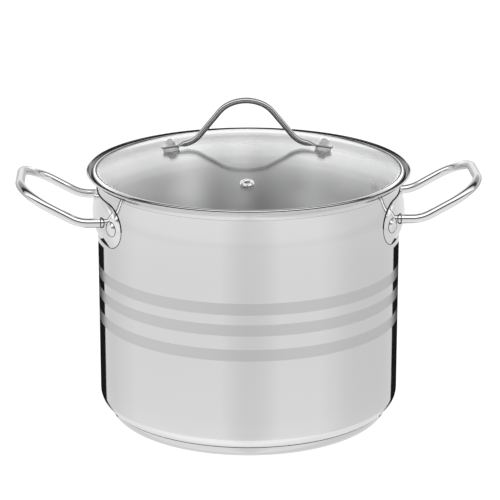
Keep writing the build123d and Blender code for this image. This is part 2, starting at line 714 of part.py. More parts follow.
def main():
    handle, bracket, rivets = make_handle(), make_bracket(), make_rivets()
    outer_ring = ring_of_wire(RACK_RADIUS, RACK_HEIGHT, RACK_WIRE)
    inner_ring = ring_of_wire(RACK_INNER_RADIUS, CROSS_HEIGHT - 2 * RACK_THIN_WIRE, RACK_THIN_WIRE)
    lift_handle = make_lift_handle()
    half_turn = Rot(0, 0, 180)
    nodes = {
        "pot_shell": [make_pot_shell()],
        "base_core": [make_base_core()],
        "base_cap": [make_base_cap()],
        "right_handle": [handle],
        "left_handle": [half_turn * handle],
        "right_handle_bracket": [bracket],
        "left_handle_bracket": [half_turn * bracket],
        "right_bracket_rivets": rivets,
        "left_bracket_rivets": [half_turn * rivet for rivet in rivets],
        "lid_glass": [make_lid_glass()],
        "lid_rim_band": [make_rim_band()],
        "lid_handle": [make_lid_handle()],
        "lid_cap_nuts": at_both_screws(make_cap_nut()),
        "lid_upper_gaskets": at_both_screws(make_upper_gasket()),
        "lid_lower_gaskets": at_both_screws(make_lower_gasket()),
        "lid_washers": at_both_screws(make_washer()),
        "lid_screws": at_both_screws(make_screw()),
        "vent_eyelet": [make_vent_eyelet()],
        "vent_gaskets": make_vent_gaskets(),
        "rack_outer_ring": [outer_ring],
        "rack_inner_ring": [inner_ring],
        "rack_cross_wires": make_cross_wires(),
        "rack_pivot_wires": both_sides(chord_wire(PIVOT_X, PIVOT_HEIGHT, RACK_WIRE)),
        "rack_feet": make_rack_feet(outer_ring),
        "rack_handle_right": [lift_handle],
        "rack_handle_left": [half_turn * lift_handle],
    }
    os.makedirs("parts", exist_ok=True)
    for name, pieces in nodes.items():
        solids = [solid for piece in pieces for solid in piece.solids()]
        shape = solids[0] if len(solids) == 1 else Compound(solids)
        export_step(shape, f"parts/{name}.step")


main()
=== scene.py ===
import math

import bmesh
import bpy
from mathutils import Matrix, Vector


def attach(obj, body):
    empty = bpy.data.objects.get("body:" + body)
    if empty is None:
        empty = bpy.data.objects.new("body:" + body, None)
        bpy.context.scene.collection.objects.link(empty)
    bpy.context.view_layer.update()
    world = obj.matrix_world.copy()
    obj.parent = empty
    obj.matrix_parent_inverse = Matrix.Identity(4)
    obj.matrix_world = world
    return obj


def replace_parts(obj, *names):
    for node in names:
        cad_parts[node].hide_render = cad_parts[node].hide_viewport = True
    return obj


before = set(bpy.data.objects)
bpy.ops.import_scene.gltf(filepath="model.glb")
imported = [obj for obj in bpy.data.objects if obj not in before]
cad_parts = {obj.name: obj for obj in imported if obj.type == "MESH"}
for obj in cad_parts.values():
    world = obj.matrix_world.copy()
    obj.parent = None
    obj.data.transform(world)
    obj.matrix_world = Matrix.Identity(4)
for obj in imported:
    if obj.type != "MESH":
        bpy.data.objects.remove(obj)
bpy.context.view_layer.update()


# ---------------------------------------------------------------- node graphs


class Graph:
    """Short-hand for filling a node tree."""

    def __init__(self, tree):
        self.tree = tree
        tree.nodes.clear()

    def add(self, kind, inputs=None, **settings):
        node = self.tree.nodes.new(kind)
        for key, value in settings.items():
            setattr(node, key, value)
        for key, value in (inputs or {}).items():
            if isinstance(value, bpy.types.NodeSocket):
                self.tree.links.new(value, node.inputs[key])
            else:
                node.inputs[key].default_value = value
        return node

    def math(self, operation, a, b=0.0, clamp=False):
        node = self.add("ShaderNodeMath", {0: a, 1: b}, operation=operation, use_clamp=clamp)
        return node.outputs[0]

    def blend(self, factor, a, b):
        """Number between a and b."""
        node = self.add("ShaderNodeMix", {0: factor, 2: a, 3: b}, data_type="FLOAT")
        return node.outputs[0]

    def blend_colour(self, factor, a, b):
        node = self.add("ShaderNodeMix", {0: factor, 6: a, 7: b}, data_type="RGBA")
        return node.outputs[2]

    def ramp(self, factor, stops, interpolation="LINEAR"):
        """Colour ramp over grey levels or colours: stops are (position, value)."""
        node = self.add("ShaderNodeValToRGB", {0: factor})
        node.color_ramp.interpolation = interpolation
        elements = node.color_ramp.elements
        while len(elements) < len(stops):
            elements.new(0.5)
        for element, (position, value) in zip(elements, stops):
            element.position = position
            colour = value if isinstance(value, tuple) else (value, value, value)
            element.color = (*colour, 1)
        return node.outputs[0]

    def noise(self, vector, scale, detail=2.0, roughness=0.5):
        node = self.add(
            "ShaderNodeTexNoise",
            {"Vector": vector, "Scale": scale, "Detail": detail, "Roughness": roughness},
        )
        return node.outputs[0]

    def stretched(self, vector, scale):
        """Coordinates scaled by axis, for grain that runs along one direction."""
        node = self.add("ShaderNodeMapping", {"Vector": vector, "Scale": scale})
        return node.outputs[0]

    def object_coords(self):
        return self.add("ShaderNodeTexCoord").outputs["Object"]

    def split(self, vector):
        node = self.add("ShaderNodeSeparateXYZ", {0: vector})
        return node.outputs[0], node.outputs[1], node.outputs[2]

    def radius(self, x, y):
        """Distance from the Z axis."""
        node = self.add("ShaderNodeCombineXYZ", {0: x, 1: y})
        return self.add("ShaderNodeVectorMath", {0: node.outputs[0]}, operation="LENGTH").outputs["Value"]

    def bump(self, height, strength, distance):
        node = self.add("ShaderNodeBump", {"Strength": strength, "Distance": distance, "Height": height})
        return node.outputs[0]


def grey(value):
    return (value, value, value, 1.0)


def material(name):
    made = bpy.data.materials.new(name)
    made.use_nodes = True
    return made, Graph(made.node_tree)


def surface(graph, inputs):
    shader = graph.add("ShaderNodeBsdfPrincipled", inputs)
    graph.add("ShaderNodeOutputMaterial", {"Surface": shader.outputs[0]})


# ---------------------------------------------------------------- materials

# heights and radii on the pot, in metres
SATIN_BANDS = ((0.0968, 0.1078), (0.1202, 0.1309), (0.1397, 0.1507))
OUTER_FACE = 0.1396
INNER_FACE = 0.13945
FLOOR_TOP = 0.0125
RIM_BOTTOM = 0.2285
RIM_INSIDE = 0.1395
RIM_SHADOW_EDGE = 0.1477
CREASE_SHADE_HEIGHT = 0.2268
CREASE_SHADE_REACH = 0.00035
FINISH_EDGE = 6000.0  # steepness of the change from one finish to the next
PAINTED_SHADE_TONE = 0.02


def satin_mask(g, z, outside):
    """1 on the satin bands of the outer wall."""
    masks = []
    for low, high in SATIN_BANDS:
        above = g.math("MULTIPLY", g.math("SUBTRACT", z, low), FINISH_EDGE, clamp=True)
        below = g.math("MULTIPLY", g.math("SUBTRACT", high, z), FINISH_EDGE, clamp=True)
        masks.append(g.math("MULTIPLY", above, below))
    return g.math("MULTIPLY", g.math("ADD", g.math("ADD", masks[0], masks[1]), masks[2]), outside)


def rim_shadow(g, tone, z, around):
    """Tone of the flare's inner side: grey, with painted shade where the lid's bead closes it off."""
    facing_up = g.split(g.add("ShaderNodeTexCoord").outputs["Normal"])[2]
    high = g.math("GREATER_THAN", z, RIM_BOTTOM)
    on_rim = g.math("MULTIPLY", high, g.math("GREATER_THAN", around, RIM_INSIDE))
    flare = g.math("MULTIPLY", on_rim, g.math("GREATER_THAN", facing_up, 0.0))
    tone = g.blend_colour(flare, tone, grey(0.56))
    # painted shade: ambient occlusion turns the flare near-black next to the lid's bead
    open_air = g.add("ShaderNodeAmbientOcclusion", {"Distance": 0.02}, samples=8).outputs["AO"]
    gap = g.math("MULTIPLY", flare, g.math("SUBTRACT", 0.93, open_air))
    deep = g.math("MULTIPLY", g.math("SUBTRACT", RIM_SHADOW_EDGE, around), 5000.0, clamp=True)
    painted_crevice_shade = g.math("MULTIPLY", g.math("MULTIPLY", gap, deep), 25.0, clamp=True)
    return g.blend_colour(painted_crevice_shade, tone, grey(PAINTED_SHADE_TONE))


def crease_shade_line(g, tone, z, outside):
    """Faint dark line of painted shade along the crease where the flare leaves the wall."""
    off_line = g.math("ABSOLUTE", g.math("SUBTRACT", z, CREASE_SHADE_HEIGHT))
    line = g.math("MULTIPLY", g.math("SUBTRACT", CREASE_SHADE_REACH, off_line), FINISH_EDGE, clamp=True)
    return g.blend_colour(g.math("MULTIPLY", g.math("MULTIPLY", line, outside), 0.8), tone, grey(0.40))


def lathe_rings(g, around, scale, detail):
    """Noise that changes only with the distance from the axis."""
    place = g.add("ShaderNodeCombineXYZ", {0: g.math("MULTIPLY", around, scale)}).outputs[0]
    return g.noise(place, 1.0, detail)


def pot_steel():
    """Polished wall with three satin bands outside, brushed inside, turned lines on the floor."""
    made, g = material("pot_steel_polished")
    coords = g.object_coords()
    x, y, z = g.split(coords)
    around = g.radius(x, y)
    lines = g.noise(g.stretched(coords, (5, 5, 2600)), 1.0, 3.0, 0.6)
    clouds = g.noise(coords, 14.0, 3.0)
    outside = g.math("GREATER_THAN", around, OUTER_FACE)
    inside = g.math("LESS_THAN", around, INNER_FACE)
    band = satin_mask(g, z, outside)
    polish = g.blend(inside, 0.045, 0.28)
    rough = g.math("ADD", g.blend(band, polish, 0.30), g.math("MULTIPLY", lines, 0.035))
    tone = g.blend_colour(band, grey(0.745), grey(0.60))
    # the inner wall's lighter tone is painted light that brightens the inside of the pot
    tone = g.blend_colour(inside, tone, grey(0.93))
    tone = g.blend_colour(g.math("MULTIPLY", lines, 0.12), tone, grey(0.60))
    tone = g.blend_colour(g.math("MULTIPLY", clouds, 0.06), tone, grey(0.62))
    tone = rim_shadow(g, tone, z, around)
    tone = crease_shade_line(g, tone, z, outside)
    rings = lathe_rings(g, around, 1800.0, 2.0)
    height = g.blend(g.math("LESS_THAN", z, FLOOR_TOP), lines, rings)
    surface(
        g,
        {
            "Base Color": tone,
            "Metallic": 1.0,
            "Roughness": rough,
            "Normal": g.bump(height, g.blend(band, 0.05, 0.35), 0.00004),
        },
    )
    return made


WORN_FROM = 0.196  # distance from the pot's axis where a rod's finish starts to dull


def bright_steel(
    name, tone, rough, grain=(300, 300, 300), relief=0.06, mottle=0.08, crevice=0.0, worn_end=False
):
    """Polished steel with fine polishing grain and faint smears.

    A crevice distance paints shade where the surface is closed in; worn_end dulls a handle rod's far end.
    """
    made, g = material(name)
    coords = g.object_coords()
    fine = g.noise(g.stretched(coords, grain), 1.0, 3.0, 0.65)
    smears = g.noise(coords, 42.0, 4.0, 0.6)
    colour = g.blend_colour(g.math("MULTIPLY", fine, mottle), grey(tone), grey(tone * 0.72))
    colour = g.blend_colour(g.math("MULTIPLY", smears, 0.06), colour, grey(tone * 0.8))
    if crevice:
        # painted shade from ambient occlusion where the surface is closed in
        open_air = g.add("ShaderNodeAmbientOcclusion", {"Distance": crevice}, samples=8).outputs["AO"]
        painted_crevice_shade = g.math("MULTIPLY", g.math("SUBTRACT", 0.62, open_air), 6.0, clamp=True)
        colour = g.blend_colour(painted_crevice_shade, colour, grey(PAINTED_SHADE_TONE))
    rough_now = g.math("ADD", g.math("MULTIPLY", smears, rough * 0.6), rough * 0.7)
    if worn_end:
        out = g.math("ABSOLUTE", g.split(coords)[0])
        worn = g.math("MULTIPLY", g.math("SUBTRACT", out, WORN_FROM), 90.0, clamp=True)
        colour = g.blend_colour(g.math("MULTIPLY", worn, 0.75), colour, grey(0.32))
        rough_now = g.math("ADD", rough_now, g.math("MULTIPLY", worn, 0.10))
    surface(
        g,
        {
            "Base Color": colour,
            "Metallic": 1.0,
            "Roughness": rough_now,
            "Normal": g.bump(fine, relief, 0.00003),
        },
    )
    return made


def turned_steel(name, tone, rough):
    """Steel or aluminium with concentric lathe lines."""
    made, g = material(name)
    coords = g.object_coords()
    x, y, z = g.split(coords)
    around = g.radius(x, y)
    rings = lathe_rings(g, around, 2200.0, 3.0)
    lines = g.noise(g.stretched(coords, (6, 6, 1800)), 1.0, 3.0)
    flat = g.math("LESS_THAN", z, 0.0004)
    height = g.blend(flat, lines, rings)
    stains = g.noise(coords, 30.0, 4.0)
    colour = g.blend_colour(g.math("MULTIPLY", height, 0.14), grey(tone), grey(tone * 0.75))
    tarnish = (tone * 0.9, tone * 0.84, tone * 0.74, 1)
    colour = g.blend_colour(g.math("MULTIPLY", stains, 0.05), colour, tarnish)
    surface(
        g,
        {
            "Base Color": colour,
            "Metallic": 1.0,
            "Roughness": g.math("ADD", g.math("MULTIPLY", height, rough), g.blend(flat, rough * 0.6, 0.2)),
            "Normal": g.bump(height, 0.12, 0.00006),
        },
    )
    return made


def clear_glass():
    """Tempered glass: clear, with the faintest roller ripple."""
    made, g = material("lid_glass_clear")
    coords = g.object_coords()
    ripple = g.noise(coords, 18.0, 1.0)
    surface(
        g,
        {
            "Base Color": g.blend_colour(ripple, (0.985, 0.995, 0.99, 1), (0.97, 0.985, 0.98, 1)),
            "Roughness": 0.0,
            "IOR": 1.5,
            "Transmission Weight": 1.0,
            "Normal": g.bump(ripple, 0.02, 0.0002),
        },
    )
    return made


def silicone():
    made, g = material("silicone_grey")
    coords = g.object_coords()
    speckle = g.noise(coords, 900.0, 3.0)
    dust = g.noise(coords, 160.0, 3.0)
    colour = g.blend_colour(speckle, (0.66, 0.66, 0.65, 1), (0.76, 0.76, 0.75, 1))
    surface(
        g,
        {
            "Base Color": colour,
            "Roughness": g.math("ADD", g.math("MULTIPLY", dust, 0.25), 0.35),
            "Subsurface Weight": 0.15,
            "Subsurface Radius": (0.002, 0.002, 0.002),
            "Normal": g.bump(speckle, 0.2, 0.00008),
        },
    )
    return made


def joint_shadow():
    """Near-black steel for the rings of painted shade in the joints and gaps."""
    made, g = material("shade_ring_dark_steel")
    coords = g.object_coords()
    grain = g.noise(coords, 500.0, 3.0)
    surface(
        g,
        {
            "Base Color": g.blend_colour(grain, grey(0.02), grey(0.05)),
            "Metallic": 0.6,
            "Roughness": g.math("ADD", g.math("MULTIPLY", grain, 0.2), 0.5),
            "Normal": g.bump(grain, 0.2, 0.00005),
        },
    )
    return made


def black_edge_shade():
    """Near-black and slightly uneven: painted shade for the line under the band's edge."""
    made, g = material("band_edge_shade_black")
    coords = g.object_coords()
    grain = g.noise(coords, 700.0, 3.0)
    surface(
        g,
        {
            "Base Color": g.blend_colour(grain, grey(0.012), grey(0.03)),
            "Roughness": g.math("ADD", g.math("MULTIPLY", grain, 0.2), 0.45),
            "Normal": g.bump(grain, 0.2, 0.00005),
        },
    )
    return made


POT = pot_steel()
BASE = turned_steel("base_steel_turned", 0.72, 0.07)
CORE = turned_steel("core_aluminium_turned", 0.62, 0.25)
ROD = bright_steel("rod_steel_mirror", 0.79, 0.035, worn_end=True)
PLATE = bright_steel("plate_steel_polished", 0.80, 0.10, grain=(160, 160, 1600), mottle=0.12)
RIVET = bright_steel("rivet_steel_polished", 0.80, 0.22)
# the band gets painted shade where it closes against the lip and the glass
BAND = bright_steel("band_steel_bright", 0.84, 0.06, crevice=0.004)
WIRE = bright_steel("lid_handle_steel_satin", 0.44, 0.17, relief=0.15, mottle=0.2)
FIXING = bright_steel("fixing_steel_plated", 1.0, 0.34)
RACK = bright_steel("rack_wire_chromed", 0.78, 0.09)
GLASS = clear_glass()
SILICONE = silicone()
SHADE_RING_STEEL = joint_shadow()
BAND_EDGE_SHADE = black_edge_shade()

FINISHES = {
    "pot_shell": POT,
    "base_cap": BASE,
    "base_core": CORE,
    "left_handle": ROD,
    "right_handle": ROD,
    "left_handle_bracket": PLATE,
    "right_handle_bracket": PLATE,
    "left_bracket_rivets": RIVET,
    "right_bracket_rivets": RIVET,
    "lid_glass": GLASS,
    "lid_rim_band": BAND,
    "lid_handle": WIRE,
    "lid_cap_nuts": FIXING,
    "lid_screws": FIXING,
    "lid_washers": FIXING,
    "vent_eyelet": FIXING,
    "lid_upper_gaskets": SILICONE,
    "lid_lower_gaskets": SILICONE,
    "vent_gaskets": SILICONE,
    "rack_outer_ring": RACK,
    "rack_inner_ring": RACK,
    "rack_cross_wires": RACK,
    "rack_pivot_wires": RACK,
    "rack_feet": RACK,
    "rack_handle_left": RACK,
    "rack_handle_right": RACK,
}
for name, finish in FINISHES.items():
    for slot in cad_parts[name].material_slots:
        slot.material = finish


# ---------------------------------------------------------------- mesh helpers


def mesh_piece(name, vertices, faces, finish, body, slot, sharp_angle=35.0):
    """New mesh object that rides on a body, smooth except at real corners."""
    mesh = bpy.data.meshes.new(name)
    mesh.from_pydata(vertices, [], faces)
    mesh.validate()
    made = bmesh.new()
    made.from_mesh(mesh)
    bmesh.ops.remove_doubles(made, verts=made.verts, dist=1e-6)
    bmesh.ops.recalc_face_normals(made, faces=made.faces)
    for face in made.faces:
        face.smooth = True
    for edge in made.edges:
        if len(edge.link_faces) == 2 and edge.calc_face_angle() > math.radians(sharp_angle):
            edge.smooth = False
    made.to_mesh(mesh)
    made.free()
    mesh.materials.append(finish)
    piece = bpy.data.objects.new(name, mesh)
    bpy.context.scene.collection.objects.link(piece)
    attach(piece, body)
    return piece


def arc(centre, radius, start, end, step=4.0):
    """Points (radius, height) of an arc in section, angles in degrees, both ends included."""
    count = max(2, math.ceil(abs(end - start) / step))
    angles = [math.radians(start + (end - start) * i / count) for i in range(count + 1)]
    return [(centre[0] + radius * math.cos(t), centre[1] + radius * math.sin(t)) for t in angles]


def lathe(outline, segments):
    """Vertices and faces of a closed outline in millimetres, turned about Z."""
    count = len(outline)
    vertices, faces = [], []
    for i in range(segments):
        t = 2 * math.pi * i / segments
        vertices += [(r * math.cos(t) / 1000, r * math.sin(t) / 1000, z / 1000) for r, z in outline]
    for i in range(segments):
        here, there = i * count, (i + 1) % segments * count
        for j in range(count):
            k = (j + 1) % count
            if outline[j][0] > 0 or outline[k][0] > 0:
                faces.append((here + j, here + k, there + k, there + j))
    return vertices, faces


def rounded(points, radii, step=3.0):
    """Polyline in millimetres with its inner corners turned into arcs."""
    points = [Vector(p) for p in points]
    path = [points[0]]
    for i, radius in enumerate(radii, start=1):
        corner = points[i]
        before, after = (points[i - 1] - corner).normalized(), (points[i + 1] - corner).normalized()
        half = before.angle(after) / 2
        middle = corner + (before + after).normalized() * radius / math.sin(half)
        start = corner + before * radius / math.tan(half) - middle
        end = corner + after * radius / math.tan(half) - middle
        turn = start.angle(end)
        count = max(2, math.ceil(math.degrees(turn) / step))
        for j in range(count + 1):
            t = turn * j / count
            path.append(middle + (start * math.sin(turn - t) + end * math.sin(t)) / math.sin(turn))
    path.append(points[-1])
    return path


def tube(path, radius, sides):
    """Vertices and faces of a round rod along a path in millimetres, closed at both ends."""
    along = [(b - a).normalized() for a, b in zip(path, path[1:])]
    tangents = [along[0]] + [(a + b).normalized() for a, b in zip(along, along[1:])] + [along[-1]]
    across = tangents[0].orthogonal().normalized()
    vertices, faces = [], []
    for i, (point, tangent) in enumerate(zip(path, tangents)):
        if i:
            across = tangents[i - 1].rotation_difference(tangent) @ across
        other = tangent.cross(across)
        for j in range(sides):
            t = 2 * math.pi * j / sides
            vertices.append((point + (across * math.cos(t) + other * math.sin(t)) * radius) / 1000)
    for i in range(len(path) - 1):
        for j in range(sides):
            k = (j + 1) % sides
            faces.append((i * sides + j, i * sides + k, (i + 1) * sides + k, (i + 1) * sides + j))
    last = (len(path) - 1) * sides
    faces.append(tuple(reversed(range(sides))))
    faces.append(tuple(range(last, last + sides)))
    return vertices, faces


def loop_tube(points, radius, sides):
    """Vertices and faces of a closed ring of thin wire through points in millimetres."""
    count = len(points)
    vertices, faces = [], []
    for i in range(count):
        tangent = (points[(i + 1) % count] - points[i - 1]).normalized()
        outward = Vector((points[i].x, points[i].y, 0)).normalized()
        across = (outward - tangent * outward.dot(tangent)).normalized()
        other = tangent.cross(across)
        for j in range(sides):
            t = 2 * math.pi * j / sides
            vertices.append((points[i] + (across * math.cos(t) + other * math.sin(t)) * radius) / 1000)
    for i in range(count):
        for j in range(sides):
            k, n = (j + 1) % sides, (i + 1) % count
            faces.append((i * sides + j, i * sides + k, n * sides + k, n * sides + j))
    return vertices, faces


def circle(centre, normal, radius, count=48):
    """Points of a circle in millimetres."""
    u = normal.orthogonal().normalized()
    w = normal.normalized().cross(u)
    turns = [2 * math.pi * i / count for i in range(count)]
    return [centre + (u * math.cos(t) + w * math.sin(t)) * radius for t in turns]


def weld_lump(centre, radius, height, rows=5, count=20):
    """Vertices and faces of a flattened round lump of weld metal, in millimetres."""
    vertices = [(centre[0] / 1000, centre[1] / 1000, (centre[2] + height) / 1000)]
    for i in range(1, 2 * rows):
        tilt = math.pi * i / (2 * rows)
        for j in range(count):
            t = 2 * math.pi * j / count
            x = centre[0] + radius * math.sin(tilt) * math.cos(t)
            y = centre[1] + radius * math.sin(tilt) * math.sin(t)
            vertices.append((x / 1000, y / 1000, (centre[2] + height * math.cos(tilt)) / 1000))
    vertices.append((centre[0] / 1000, centre[1] / 1000, (centre[2] - height) / 1000))
    last = len(vertices) - 1
    faces = [(0, 1 + j, 1 + (j + 1) % count) for j in range(count)]
    for i in range(2 * rows - 2):
        low, high = 1 + i * count, 1 + (i + 1) * count
        faces += [(low + j, high + j, high + (j + 1) % count, low + (j + 1) % count) for j in range(count)]
    ring = 1 + (2 * rows - 2) * count
    faces += [(last, ring + (j + 1) % count, ring + j) for j in range(count)]
    return vertices, faces


# ---------------------------------------------------------------- pot body

POT_RADIUS = 140.0
SHEET = 0.8
WALL_CORNER = (124.5, 25.5)
WALL_CORNER_RADIUS = 15.5
CREASE_HEIGHT = 226.0
FLARE_RADIUS = 18.0
LIP_BEAD = 0.9
LIP_POINT = (148.68, 236.4)
ROLL_ENTRY = 2.5   # degrees of flare that the rolled edge covers
ROLL_OPENING = 35  # degrees on either side of the sheet where the roll starts


def flare_centre():
    """Centre of the flare's arc, through the crease and the lip."""
    inside = POT_RADIUS - SHEET
    run, rise = LIP_POINT[0] - inside, LIP_POINT[1] - CREASE_HEIGHT
    chord = math.hypot(run, rise)
    drop = math.sqrt(FLARE_RADIUS**2 - chord**2 / 4)
    return inside + run / 2 + drop * rise / chord, CREASE_HEIGHT + rise / 2 - drop * run / chord


def pot_outline():
    """Section of the drawn pot: floor, corner, wall, flare and rolled edge."""
    centre = flare_centre()
    lip = math.degrees(math.atan2(LIP_POINT[1] - centre[1], LIP_POINT[0] - centre[0]))
    outer, inner = FLARE_RADIUS - SHEET, FLARE_RADIUS
    start_outer = 180 - math.degrees(math.acos((centre[0] - POT_RADIUS) / outer))
    start_inner = 180 - math.degrees(math.acos((centre[0] - POT_RADIUS + SHEET) / inner))
    middle = (outer + inner) / 2
    lean = math.radians(lip)
    bead = (centre[0] + middle * math.cos(lean), centre[1] + middle * math.sin(lean))
    return (
        [(0, 10.0), (40, 10.0), (80, 10.0)]
        + arc(WALL_CORNER, WALL_CORNER_RADIUS, -90, 0)
        + [(POT_RADIUS, z) for z in range(40, 220, 20)]
        + arc(centre, outer, start_outer, lip + ROLL_ENTRY, 2.0)
        + arc(bead, LIP_BEAD, lip - 180 + ROLL_OPENING, lip - ROLL_OPENING, 12.0)
        + arc(centre, inner, lip + ROLL_ENTRY, start_inner, 2.0)
        + [(POT_RADIUS - SHEET, z) for z in range(215, 30, -20)]
        + arc(WALL_CORNER, WALL_CORNER_RADIUS - SHEET, 0, -90)
        + [(80, 10.8), (40, 10.8), (0, 10.8)]
    )


pot_body = mesh_piece("pot_body", *lathe(pot_outline(), 360), POT, "pot", "pot_steel")
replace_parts(pot_body, "pot_shell")

# ---------------------------------------------------------------- handle rods

ROD_RADIUS = 4.3
LEG_SPREAD = 49.3
LEG_HEIGHT = 200.0
BEND_X, BEND_RADIUS = 156.3, 33.8
RISE_LENGTH, RISE_ANGLE = 61.4, 29.1
END_CORNER = 32.6
ROD_SIDES = 48


def handle_rod(name, side):
    """Rod loop whose two ends are coped to the wall."""
    end_x = BEND_X + RISE_LENGTH * math.cos(math.radians(RISE_ANGLE))
    end_z = LEG_HEIGHT + RISE_LENGTH * math.sin(math.radians(RISE_ANGLE))
    start = math.sqrt(POT_RADIUS**2 - LEG_SPREAD**2)
    outline = [
        (start, -LEG_SPREAD, LEG_HEIGHT),
        (BEND_X, -LEG_SPREAD, LEG_HEIGHT),
        (end_x, -LEG_SPREAD, end_z),
        (end_x, LEG_SPREAD, end_z),
        (BEND_X, LEG_SPREAD, LEG_HEIGHT),
        (start, LEG_SPREAD, LEG_HEIGHT),
    ]
    path = rounded(outline, (BEND_RADIUS, END_CORNER, END_CORNER, BEND_RADIUS))
    vertices, faces = tube(path, ROD_RADIUS, ROD_SIDES)
    for i in (*range(ROD_SIDES), *range(len(vertices) - ROD_SIDES, len(vertices))):
        vertices[i].x = math.sqrt((POT_RADIUS / 1000) ** 2 - vertices[i].y ** 2)
    vertices = [(v.x * side, v.y * side, v.z) for v in vertices]
    return mesh_piece(name, vertices, faces, ROD, "pot", "rod_steel")


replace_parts(handle_rod("handle_rod_right", 1), "right_handle")
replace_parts(handle_rod("handle_rod_left", -1), "left_handle")

# ---------------------------------------------------------------- painted shade lines in the joints of the bracket plates

PLATE_HEIGHT = 198.5
PLATE_HALF_HEIGHT = 20.5
PLATE_DISH = 4.8
PLATE_HALF_ANGLE = 32.6
DISH_RADIUS = (PLATE_HALF_HEIGHT**2 + PLATE_DISH**2) / (2 * PLATE_DISH)
DISH_CENTRE = POT_RADIUS + PLATE_DISH - DISH_RADIUS
RIVET_ANGLE = 27.3
RIVET_HEAD_RADIUS = 6.8
RIVET_FACE = 143.75       # radius at which the head's middle stands
RIVET_SLANT = 10.1        # degrees by which the head leans towards the plate's end
RIVET_SINK = 0.45         # how far the dark ring lies below the head's face
# tube radius of each dark ring of painted shade
WALL_SHADE_LINE, ROD_SHADE_LINE, RIVET_SHADE_LINE = 0.42, 0.5, 0.28
SHADE_LINE_SIDES = 8
NO_SHARP_EDGES = 180


def round_the_pot(radius, degrees, height):
    """Point at a radius, at an angle from +X."""
    t = math.radians(degrees)
    return Vector((radius * math.cos(t), radius * math.sin(t), height))


def seam_path():
    """Closed line where the dished plate meets the wall."""
    reach = (POT_RADIUS**2 + DISH_CENTRE**2 - DISH_RADIUS**2) / (2 * POT_RADIUS * DISH_CENTRE)
    end_centre = PLATE_HALF_ANGLE - math.degrees(math.acos(reach))
    upper = []
    for i in range(121):
        t = PLATE_HALF_ANGLE * math.sin(math.radians(i - 60) * 1.5)
        past = math.radians(max(0.0, abs(t) - end_centre))
        across = 2 * POT_RADIUS * DISH_CENTRE * math.cos(past)
        square = DISH_RADIUS**2 - POT_RADIUS**2 - DISH_CENTRE**2 + across
        upper.append((t, math.sqrt(max(square, 0.0))))
    points = [round_the_pot(POT_RADIUS + 0.25, t, PLATE_HEIGHT + h) for t, h in upper]
    points += [round_the_pot(POT_RADIUS - 0.1, t, PLATE_HEIGHT - h) for t, h in reversed(upper[1:-1])]
    return points


def turned_half_round(vertices):
    return [(-v.x, -v.y, v.z) for v in vertices]


def add_joint_shade_lines():
    """Dark rings of painted shade in the joints: plate to wall, rod to plate, rivet head to plate."""
    loops = {"bracket_joint_shade": (seam_path(), WALL_SHADE_LINE)}
    plate_x = math.sqrt((POT_RADIUS + PLATE_DISH) ** 2 - LEG_SPREAD**2)
    for y, end in ((-1, "near"), (1, "far")):
        joint = Vector((plate_x + 0.3, y * LEG_SPREAD, LEG_HEIGHT))
        loops["rod_joint_" + end] = (circle(joint, Vector((1, 0, 0)), ROD_RADIUS + 0.2), ROD_SHADE_LINE)
        normal = round_the_pot(1, y * (RIVET_ANGLE + RIVET_SLANT), 0)
        head = round_the_pot(RIVET_FACE, y * RIVET_ANGLE, PLATE_HEIGHT) - normal * RIVET_SINK
        loops["rivet_edge_" + end] = (circle(head, normal, RIVET_HEAD_RADIUS + 0.1), RIVET_SHADE_LINE)
    for name, (points, radius) in loops.items():
        vertices, faces = loop_tube(points, radius, SHADE_LINE_SIDES)
        mesh_piece(name + "_right", vertices, faces, SHADE_RING_STEEL, "pot", "plate_steel", NO_SHARP_EDGES)
        turned = turned_half_round(vertices)
        mesh_piece(name + "_left", turned, faces, SHADE_RING_STEEL, "pot", "plate_steel", NO_SHARP_EDGES)


add_joint_shade_lines()

# dark ring of painted shade in the gap between the lid's bead and the pot's rolled lip
RIM_GAP_SHADE_RADIUS = 0.38
RIM_GAP_SHADE_CENTRE = (LIP_POINT[0] - 0.93, LIP_POINT[1] + 0.5)
rim_gap_shade_section = arc(RIM_GAP_SHADE_CENTRE, RIM_GAP_SHADE_RADIUS, 0, 330, 30.0)
mesh_piece("rim_gap_shade_ring", *lathe(rim_gap_shade_section, 360), SHADE_RING_STEEL, "pot", "pot_steel", NO_SHARP_EDGES)

# ---------------------------------------------------------------- lid rim band

GLASS_TOP = 259.3
GLASS_CURVE = 449.0
GLASS = 4.0
GLASS_EDGE_RADIUS = 141.3
BAND_SHEET = 0.6
BAND_GAP = 0.04
BAND_TOP_LEG = 0.4
BAND_LOWER_LEG = 3.2
SKIRT_RADIUS = 138.4
SKIRT_BOTTOM = 226.6


def band_outline():
    """Section of the rolled band round the glass edge, with its locating skirt."""
    curve = GLASS_CURVE - GLASS / 2
    slope = math.asin(GLASS_EDGE_RADIUS / curve)
    tilt = math.degrees(slope)
    edge = (GLASS_EDGE_RADIUS, GLASS_TOP - GLASS / 2 - curve + curve * math.cos(slope))

    def near_edge(along, out):
        return (
            edge[0] + along * math.cos(slope) + out * math.sin(slope),
            edge[1] - along * math.sin(slope) + out * math.cos(slope),
        )

    inner = GLASS / 2 + BAND_GAP
    outer = inner + BAND_SHEET
    leg_end = near_edge(-BAND_LOWER_LEG, -outer)
    leg_z = leg_end[1] - BAND_SHEET
    crown = near_edge(-BAND_TOP_LEG, (inner + outer) / 2)
    return (
        arc(edge, outer, -90 - tilt, 90 - tilt, 6.0)
        + arc(crown, BAND_SHEET / 2, 90 - tilt, 270 - tilt, 30.0)
        + arc(edge, inner, 90 - tilt, -90 - tilt, 6.0)
        + [near_edge(-BAND_LOWER_LEG, -inner), (SKIRT_RADIUS - BAND_SHEET, leg_z)]
        + [(SKIRT_RADIUS - BAND_SHEET, SKIRT_BOTTOM), (SKIRT_RADIUS, SKIRT_BOTTOM), (SKIRT_RADIUS, leg_z)]
    )


